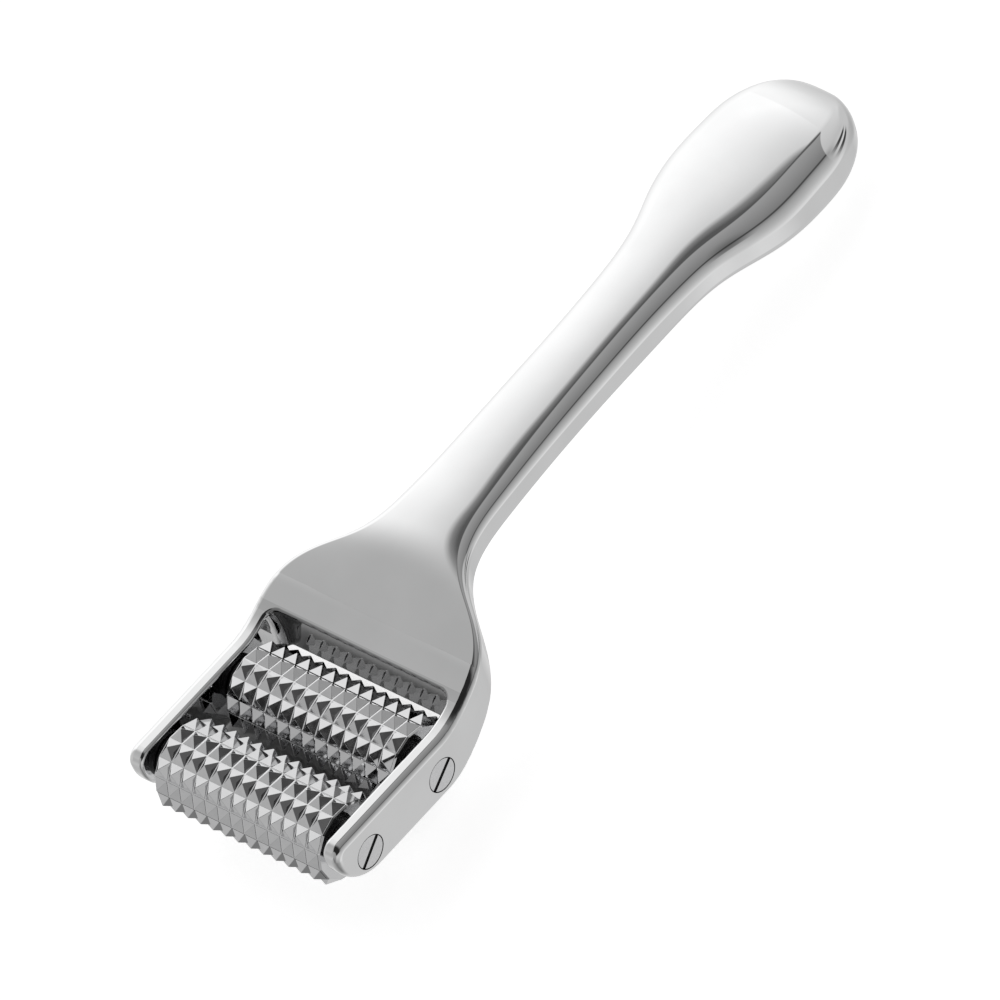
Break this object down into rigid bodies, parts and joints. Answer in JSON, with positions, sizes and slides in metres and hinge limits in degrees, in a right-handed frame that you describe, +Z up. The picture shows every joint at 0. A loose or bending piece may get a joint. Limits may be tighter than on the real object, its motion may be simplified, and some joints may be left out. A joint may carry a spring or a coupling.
{
  "type": "twin roller face massager",
  "caption": "Hand-held face and body massage roller: a plated one-piece handle whose fork carries free-turning metal rollers covered in small pyramid studs.",
  "frame": {"origin": "under the middle of the tool's box, on the surface that the rear roller and the grip end rest on", "axes": "+X along the roller axles towards the screw side, +Y from the rollers towards the grip end, +Z up"},
  "size_m": [0.042, 0.1492, 0.0198],
  "materials": {
    "plated_cast_body": "mirror plated",
    "polished_roller": "polished, sharp studs",
    "axle_steel": "turned and polished",
    "bush_acetal": "turned, black",
    "washer_plastic": "moulded, matt"
  },
  "bodies": {
    "handle": {"handle_frame": "plated_cast_body", "front_left_washer": "washer_plastic", "front_right_washer": "washer_plastic", "front_axle_barrel": "axle_steel", "front_axle_screw": "axle_steel", "rear_left_washer": "washer_plastic", "rear_right_washer": "washer_plastic", "rear_axle_barrel": "axle_steel", "rear_axle_screw": "axle_steel"},
    "front_roller_set": {"front_roller": "polished_roller", "front_left_bush": "bush_acetal", "front_right_bush": "bush_acetal"},
    "rear_roller_set": {"rear_roller": "polished_roller", "rear_left_bush": "bush_acetal", "rear_right_bush": "bush_acetal"}
  },
  "joints": [
    {"name": "front_roller_spin", "type": "hinge", "parent": "handle", "child": "front_roller_set", "pos_m": [0, -0.06719, 0.01036], "axis": [1, 0, 0], "continuous": true},
    {"name": "rear_roller_spin", "type": "hinge", "parent": "handle", "child": "rear_roller_set", "pos_m": [0, -0.05043, 0.00746], "axis": [1, 0, 0], "continuous": true}
  ]
}
